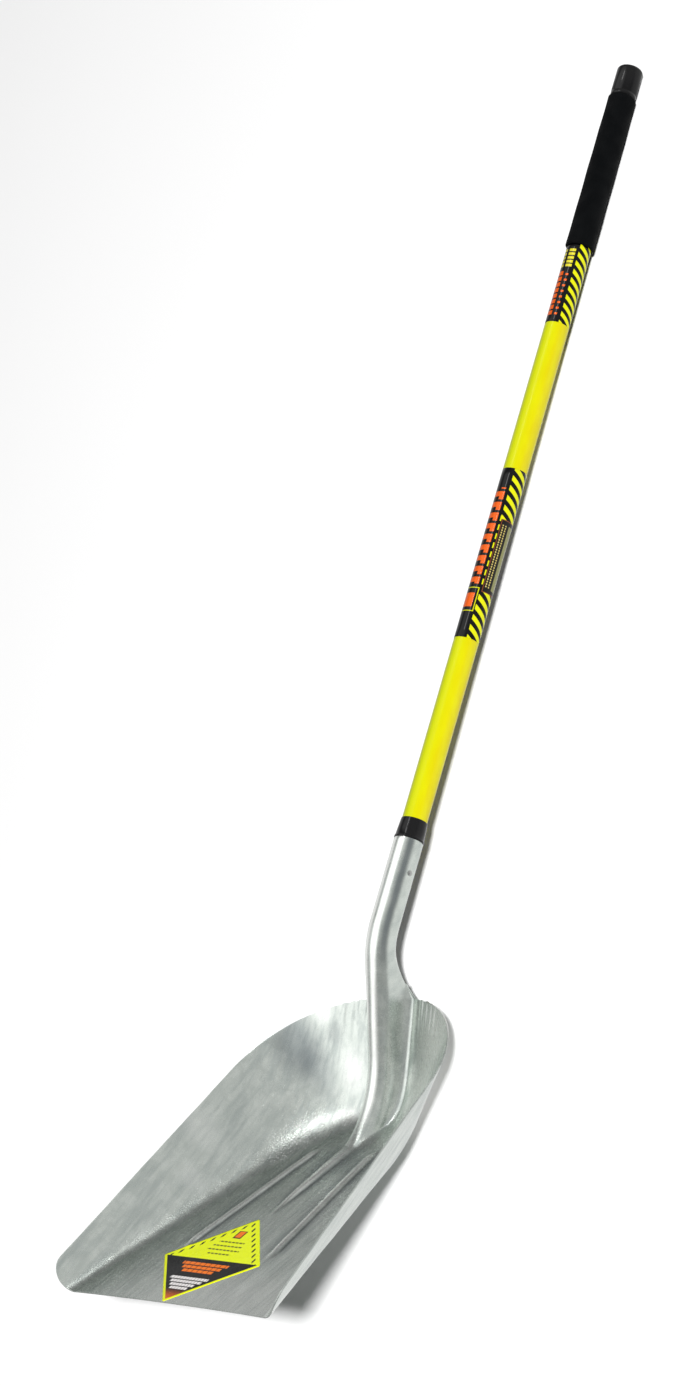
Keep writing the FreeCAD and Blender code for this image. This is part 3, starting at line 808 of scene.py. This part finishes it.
def aluminium():
    """Bare pressed sheet: grain, scuffs, scratches, pocks with painted glints, pebbled folds, and the painted
    reflections, highlights and shade kept on the points.
    """
    finish = Finish("blade_aluminium", metallic=1.0)
    across, reach, rise = (finish.value(name) for name in ("across_mm", "reach_mm", "rise_mm"))
    place = finish.place(across, reach, rise)
    grain = finish.noise(finish.scaled(place, (1.6, 0.35, 1.1)), 1.0, 4.0, 0.65)
    mottle = finish.noise(place, 0.055, 5.0, 0.62, 0.6)
    streak = finish.noise(finish.scaled(place, (0.16, 0.012, 0.05)), 1.0, 4.0, 0.6)
    scratch = finish.noise(finish.scaled(place, (0.9, 0.05, 0.3)), 1.0, 2.0, 0.5, 1.2)
    speck = finish.spread(finish.noise(place, 0.9, 2.0, 0.5), 0.60, 0.72)
    fold = finish.times(finish.within(rise, 3.0, 24.0, 4.0), finish.within(reach, 60.0, 400.0, 60.0))
    left_fold = finish.box(across, reach, (-108, -74), (268, 352), 16.0)
    pocked_and_glinting = finish.times(left_fold, finish.spread(rise, 30.0, 18.0))
    pocks_and_glints = finish.times(finish.spread(finish.cells(place, 0.34), 0.34, 0.2), pocked_and_glinting)
    painted_light_and_shade = finish.value("painted_light_and_shade")
    finish.tone = finish.mix(finish.spread(mottle, 0.3, 0.7), colour(203, 210, 204), colour(219, 225, 219))
    finish.lay(finish.spread(streak, 0.35, 0.75), (186, 194, 190))
    # painted highlights and reflections, then painted shade, laid on from the values kept on the points
    finish.lay(finish.spread(painted_light_and_shade, 0.0, 1.0, smooth=False), (250, 252, 248))
    finish.lay(finish.spread(painted_light_and_shade, 0.0, -1.0, 0.0, 0.85, smooth=False), (112, 120, 124))
    # painted glints: the pocks along the left fold are laid on in white
    finish.lay(pocks_and_glints, (255, 255, 255))
    rough = finish.plus(
        finish.spread(mottle, 0.25, 0.75, 0.20, 0.30),
        finish.spread(grain, 0.2, 0.8, -0.05, 0.06),
        finish.spread(streak, 0.4, 0.7, 0.0, 0.06),
    )
    height = finish.plus(
        finish.times(grain, 0.22),
        finish.times(finish.cells(place, 0.42), fold, 0.9),
        finish.times(speck, 0.12),
        finish.times(pocks_and_glints, 2.2),
        finish.times(finish.spread(scratch, 0.70, 0.74), -0.3),
    )
    ripple = finish.bump(finish.noise(place, 0.022, 2.0, 0.45), 0.35, 2.0)
    finish.drive(base_color=finish.tone, roughness=rough, normal=finish.bump(height, 0.35, 0.35, ripple))
    return finish.material


def fibreglass():
    """Pigmented pultruded tube: smooth, with faint fibres along it, and painted shade that turns it a darker
    gold towards +X.
    """
    coat = {"coat_weight": 0.06, "coat_roughness": 0.12}
    finish = Finish("handle_fibreglass", roughness=0.3, specular_ior_level=0.22, **coat)
    turn, run = finish.value("round_deg"), finish.value("along_mm")
    fibres = finish.noise(finish.place(turn, run, scale=(0.55, 0.012, 1)), 1.0, 4.0, 0.6)
    cloud = finish.noise(finish.place(turn, run, scale=(0.02, 0.02, 1)), 1.0, 3.0, 0.5)
    # painted shade: lemon at turn 0, turning to a darker gold towards +X
    finish.tone = finish.mix(finish.spread(turn, -10.0, 75.0), colour(196, 206, 0), colour(190, 176, 0))
    finish.lay(finish.spread(fibres, 0.3, 0.75, 0.0, 0.3), (180, 178, 0))
    finish.lay(finish.spread(cloud, 0.3, 0.8, 0.0, 0.4), (198, 206, 2))
    finish.drive(base_color=finish.tone, roughness=finish.spread(fibres, 0.2, 0.8, 0.26, 0.36))
    finish.drive(normal=finish.bump(fibres, 0.12, 0.15))
    return finish.material


def foam():
    """Closed-cell foam: fine open pores, worn a little smoother in places."""
    finish = Finish("grip_foam", roughness=0.85, specular_ior_level=0.1)
    turn, run = finish.value("round_deg"), finish.value("along_mm")
    place = finish.place(turn, run, scale=(0.33, 1, 1))
    pores = finish.cells(place, 1.5)
    worn = finish.noise(place, 0.05, 3.0, 0.5)
    tone = finish.mix(finish.spread(pores, 0.1, 0.6), colour(2, 3, 4), colour(7, 8, 9))
    finish.drive(base_color=tone, roughness=finish.spread(worn, 0.3, 0.7, 0.72, 0.9))
    finish.drive(normal=finish.bump(pores, 0.5, 0.25))
    return finish.material


def moulded(name, dark, light, roughness):
    """Moulded black plastic with a faint orange-peel skin."""
    finish = Finish(name, roughness=roughness, specular_ior_level=0.3)
    place = finish.place(finish.value("round_deg"), finish.value("along_mm"), scale=(0.3, 1, 1))
    skin = finish.noise(place, 0.8, 3.0, 0.6)
    scuff = finish.noise(place, 0.4, 4.0, 0.6)
    finish.drive(base_color=finish.mix(finish.spread(scuff, 0.4, 0.8), colour(*dark), colour(*light)))
    finish.drive(roughness=finish.spread(scuff, 0.3, 0.8, roughness - 0.04, roughness + 0.14))
    finish.drive(normal=finish.bump(skin, 0.12, 0.12))
    return finish.material


def rivet_metal():
    """Bright steel head, lightly brushed, with scuffs that make it duller in places."""
    finish = Finish("rivet_metal", metallic=1.0)
    place = finish.node("ShaderNodeTexCoord").outputs["Object"]
    scuff = finish.noise(place, 900.0, 3.0, 0.6)
    finish.drive(base_color=finish.mix(scuff, colour(150, 152, 150), colour(205, 207, 204)))
    finish.drive(roughness=finish.spread(scuff, 0.2, 0.8, 0.25, 0.5), normal=finish.bump(scuff, 0.2, 0.1))
    return finish.material


def plug_wood():
    """Turned softwood with its grain along the handle."""
    finish = Finish("plug_wood", roughness=0.7)
    place = finish.node("ShaderNodeTexCoord").outputs["Object"]
    grain = finish.noise(finish.scaled(place, (900, 40, 900)), 1.0, 5.0, 0.6)
    tone = finish.mix(finish.spread(grain, 0.3, 0.7), colour(164, 124, 80), colour(205, 168, 118))
    finish.drive(base_color=tone)
    finish.drive(roughness=finish.spread(grain, 0.3, 0.7, 0.6, 0.8), normal=finish.bump(grain, 0.3, 0.2))
    return finish.material


BLACK, YELLOW, ORANGE = (3, 3, 4), (196, 198, 0), (222, 90, 4)
BRIGHT_ORANGE = (255, 124, 8)


ARC_PER_DEGREE = math.radians(HANDLE_RADIUS + FILM)
STRIPE_LEAN = 0.7


class Film(Finish):
    """Printed film: layers of colour over black, placed by turn and run, under a thin gloss."""

    def __init__(self, name):
        super().__init__(name, roughness=0.16, specular_ior_level=0.25)
        self.turn, self.run = self.value("round_deg"), self.value("along_mm")
        self.tone = colour(*BLACK)

    def block(self, turn_span, run_span, shade, soft=0.1):
        self.lay(self.box(self.turn, self.run, turn_span, run_span, soft), shade)

    def column(self, turn_span, run_span, pitch, gap, shade):
        """Row of plain blocks along the handle, in place of lettering."""
        blocks = self.every(self.run, pitch, 0.0, pitch - gap, 0.1)
        self.lay(self.times(blocks, self.box(self.turn, self.run, turn_span, run_span, 0.1)), shade)

    def stripes(self, period, turn_span, run_spans):
        """Slanted stripes over one side of the film, in the given stretches of its length."""
        slant = self.math("MULTIPLY_ADD", self.turn, ARC_PER_DEGREE * STRIPE_LEAN, self.run)
        bands = self.every(slant, period, 0.0, period / 2, 0.15)
        ends = self.either(*(self.within(self.run, *span) for span in run_spans))
        self.lay(self.times(bands, self.within(self.turn, *turn_span), ends), YELLOW)

    def finished(self):
        """Material with the gloss, dust and slight ripple of a thin laminated film."""
        place = self.place(self.turn, self.run, scale=(0.28, 1, 1))
        ripple = self.noise(place, 0.12, 2.0, 0.5)
        dust = self.noise(place, 0.9, 4.0, 0.7)
        self.lay(self.spread(dust, 0.7, 0.95, 0.0, 0.12), (120, 118, 112))
        self.drive(base_color=self.tone, roughness=self.spread(dust, 0.3, 0.8, 0.04, 0.09))
        self.drive(normal=self.bump(ripple, 0.1, 0.2))
        return self.material


def stretch(span, low, high):
    """Part of a label's length, from shares of it."""
    return span[0] + (span[1] - span[0]) * low, span[0] + (span[1] - span[0]) * high


def inset(span, low, high):
    return span[0] + low, span[1] - high


def film_middle():
    """Stripes at both ends, a column of notched blocks, a small plate, dashes and a framed panel."""
    span = LABEL_MIDDLE
    film = Film("handle_film_middle")
    blocks, plate, panel = (stretch(span, *part) for part in ((0.31, 0.88), (0.15, 0.29), (0.27, 0.70)))
    inner = inset(panel, 1.0, 1.0)
    film.stripes(13.8, (45, 200), (stretch(span, 0.0, 0.27), stretch(span, 0.70, 1.0)))
    film.column((-64, 30), blocks, 14.9, 3.6, ORANGE)
    film.column((-40, 8), blocks, 14.9, 10.6, BLACK)
    film.block((-60, 40), plate, YELLOW)
    film.block((-55, 36), inset(plate, 1.2, 1.2), BLACK)
    film.block((-46, 26), inset(plate, 6, 8), ORANGE, 0.2)
    film.column((43, 49), stretch(span, 0.30, 0.72), 12.6, 5.0, YELLOW)
    film.block((52, 150), panel, (116, 58, 30))
    film.block((55, 147), inner, (20, 18, 16))
    film.block((96, 140), inset(inner, 5, 5), (122, 122, 78))
    for turn_span in ((62, 68), (76, 82)):
        film.column(turn_span, inset(inner, 6, 6), 3.4, 1.3, (176, 160, 92))
    return film.finished()


def film_upper():
    """Stripes along one side, two columns of blocks and two shorter columns of dashes."""
    span = LABEL_UPPER
    film = Film("handle_film_upper")
    film.stripes(12.4, (50, 200), (span,))
    for turn_span, gap in (((-50, 4), 2.2), ((18, 32), 5.4)):
        film.column(turn_span, stretch(span, 0.08, 0.66), 8.2, gap, ORANGE)
    for turn_span in ((-44, -10), (4, 36)):
        film.column(turn_span, stretch(span, 0.70, 0.94), 5.6, 1.8, (206, 196, 40))
    return film.finished()


def sticker_film():
    """Two-tone square label with plain bars, ticks and a small mark."""
    finish = Finish("sticker_film", roughness=0.2, specular_ior_level=0.2)
    across, ahead = finish.value("across_mm"), finish.value("ahead_mm")
    edge = finish.math("ADD", finish.math("ABSOLUTE", across), finish.math("ABSOLUTE", ahead))
    upper = finish.spread(ahead, -0.3, 0.3, smooth=False)
    finish.tone = finish.mix(upper, colour(*BLACK), colour(242, 255, 0))
    ticks = finish.times(finish.every(across, 9.4, 0.0, 3.2), finish.within(edge, 70.5, 77.5), upper)
    finish.lay(ticks, (20, 24, 10))

    def bar(half, low, high, period, filled, shade, soft=0.0):
        """Row of short blocks across the label."""
        row = finish.box(across, ahead, (-half, half), (low, high), soft)
        finish.lay(finish.times(row, finish.every(across, period, 0.0, filled, soft)), shade)

    for line, width in enumerate((44, 50, 56, 40)):
        middle = 36.0 - 8.0 * line
        bar(width / 2, middle - 1.2, middle + 1.2, 6.5, 5.0, (84, 84, 14))
    finish.lay(finish.box(across, ahead, (-8, 6), (44, 59)), (30, 26, 16))
    finish.lay(finish.box(across, ahead, (-6, 4), (46, 58)), BRIGHT_ORANGE)
    for line in range(3):
        top = -7.5 - 7.0 * line
        bar(40 - 6.5 * line, top - 5.2, top, 9.0, 8.0, BRIGHT_ORANGE, 0.1)
    for line in range(4):
        top = -36.0 - 6.4 * line
        bar(33 - 6.0 * line, top - 4.7, top, 5.2, 4.4, (250, 246, 244), 0.1)
    finish.lay(finish.times(finish.spread(ahead, -58.0, -80.0), 0.95), (226, 108, 30))
    border = finish.times(finish.within(edge, 80.0, 90.0), finish.math("SUBTRACT", 1.0, upper))
    finish.lay(border, (236, 244, 0))
    place = finish.place(across, ahead)
    ripple = finish.noise(place, 0.05, 3.0, 0.5)
    finish.drive(base_color=finish.tone, roughness=finish.spread(ripple, 0.3, 0.7, 0.16, 0.3))
    finish.drive(normal=finish.bump(ripple, 0.3, 0.8))
    return finish.material


def floor_paper():
    finish = Finish("floor_paper", roughness=0.95, specular_ior_level=0.1)
    place = finish.node("ShaderNodeTexCoord").outputs["Object"]
    tone = finish.noise(place, 0.8, 2.0, 0.5)
    finish.drive(base_color=finish.mix(tone, (0.96, 0.96, 0.96, 1), (0.98, 0.98, 0.98, 1)))
    return finish.material


# --- Build the pieces ---

make_blade(aluminium())
make_collar(moulded("collar_plastic", (5, 5, 6), (10, 10, 11), 0.09))
make_handle(fibreglass())
make_rivet(rivet_metal())
make_grip(foam())
make_cap(moulded("cap_plastic", (6, 6, 7), (13, 13, 14), 0.11))
make_film("handle_label_middle_film", LABEL_MIDDLE, film_middle(), "handle_label_middle")
make_film("handle_label_upper_film", LABEL_UPPER, film_upper(), "handle_label_upper")
make_sticker(sticker_film())

plug = frame["nodes"]["core_plug"]
plug.data.materials.clear()
plug.data.materials.append(plug_wood())

# --- Camera, floor and light ---

CAMERA_AT = np.array([3074.7, -1992.0, 1665.2])
CAMERA_RIGHT = np.array([0.67674, 0.64046, -0.3631])
CAMERA_DOWN = np.array([-0.04181, -0.45896, -0.88747])
CAMERA_LENS, SENSOR = 90.07, 36.0


def add_camera():
    """Camera, and its right, down and forward directions in the row frame."""
    right = TURN @ CAMERA_RIGHT
    right /= np.linalg.norm(right)
    down = TURN @ CAMERA_DOWN
    down -= right * (down @ right)
    down /= np.linalg.norm(down)
    forward = np.cross(right, down)
    lens = bpy.data.cameras.new("camera")
    lens.sensor_fit = "VERTICAL"
    lens.sensor_height = SENSOR
    lens.lens = CAMERA_LENS
    lens.clip_start, lens.clip_end = 0.05, 50.0
    camera = bpy.data.objects.new("camera", lens)
    turn = np.stack([right, -down, -forward], 1)
    camera.matrix_world = Matrix.Translation(to_row(CAMERA_AT)) @ Matrix(turn.tolist()).to_4x4()
    bpy.context.scene.collection.objects.link(camera)
    bpy.context.scene.camera = camera
    return right, down, forward


FLOOR_RADIUS, FLOOR_SIDES = 3.2, 96


def add_floor():
    turns = np.arange(FLOOR_SIDES) * 2 * math.pi / FLOOR_SIDES
    ring = np.stack([np.cos(turns), np.sin(turns), 0 * turns], 1) * FLOOR_RADIUS
    mesh = bpy.data.meshes.new("floor")
    mesh.from_pydata(ring.tolist(), [], [tuple(range(FLOOR_SIDES))])
    floor = bpy.data.objects.new("floor", mesh)
    floor.data.materials.append(floor_paper())
    bpy.context.scene.collection.objects.link(floor)
    floor.visible_glossy = False


def add_lamp(name, at, towards, power, size):
    lamp = bpy.data.lights.new(name, "AREA")
    lamp.shape = "RECTANGLE"
    lamp.size, lamp.size_y = size
    lamp.energy = power
    lamp_object = bpy.data.objects.new(name, lamp)
    aim = Vector(towards) - Vector(at)
    lamp_object.rotation_euler = aim.to_track_quat("-Z", "Y").to_euler()
    lamp_object.location = at
    bpy.context.scene.collection.objects.link(lamp_object)
    return lamp_object


# brightness of the surround in reflections; the softboxes add to it, and one of them takes from it
SURROUND = 0.42
SOFTBOXES = (
    # direction, cosines at which it starts and is full, strength
    ((-0.25, 0.02, 0.95), 0.74, 0.95, 1.0),
    ((0.61, 0.61, 0.50), 0.50, 0.95, 0.24),
    ((-0.97, 0.26, 0.0), 0.80, 0.99, 0.55),
    ((-0.60, 0.80, 0.05), 0.45, 0.93, -0.19),
    ((0.15, 0.10, -0.98), 0.08, 0.55, 0.48),
)
PALE_BACKDROP, DIFFUSE_SHARE = 1.0, 0.05


def add_world():
    """Studio surround: pale to the camera, softboxes in reflections, faint fill on matt surfaces."""
    world = bpy.data.worlds.new("studio")
    bpy.context.scene.world = world
    world.use_nodes = True
    world.cycles.sampling_method = "NONE"
    graph = Graph(world.node_tree)
    direction = graph.node("ShaderNodeTexCoord").outputs["Generated"]
    light = SURROUND
    for towards, start, full, strength in SOFTBOXES:
        inputs = {0: direction, 1: Vector(towards).normalized()}
        facing = graph.node("ShaderNodeVectorMath", inputs, operation="DOT_PRODUCT").outputs["Value"]
        light = graph.plus(light, graph.spread(facing, start, full, 0.0, strength))
    ray = graph.node("ShaderNodeLightPath").outputs
    share = graph.math("SUBTRACT", 1.0, graph.times(ray["Is Diffuse Ray"], 1 - DIFFUSE_SHARE))
    backdrop = graph.times(ray["Is Camera Ray"], PALE_BACKDROP)
    background = graph.tree.nodes["Background"]
    graph.feed(background.inputs["Strength"], graph.either(graph.times(light, share), backdrop))
    graph.feed(background.inputs["Color"], (1, 1, 1, 1))


camera_right, camera_down, camera_forward = add_camera()
add_floor()
add_world()

# the key is behind the camera and above it to the left; distances in metres, powers in watts
KEY_DISTANCE, KEY_ANGLE, KEY_POWER, KEY_SIZE = 14.0, 10.0, 2850.0, (1.1, 1.1)
STRIP_AT, STRIP_TOWARDS, STRIP_POWER, STRIP_SIZE = (0.0, 1.4, 2.4), (0.0, 0.35, 0.0), 4.5, (0.26, 0.9)
towards_key = -camera_forward * math.cos(math.radians(KEY_ANGLE))
towards_key -= (camera_right + camera_down) / math.sqrt(2) * math.sin(math.radians(KEY_ANGLE))
key = add_lamp("key", towards_key * KEY_DISTANCE, (0, 0, 0), KEY_POWER, KEY_SIZE)
key.visible_glossy = False
add_lamp("strip", STRIP_AT, STRIP_TOWARDS, STRIP_POWER, STRIP_SIZE)

bpy.context.scene.view_settings.view_transform = "Standard"
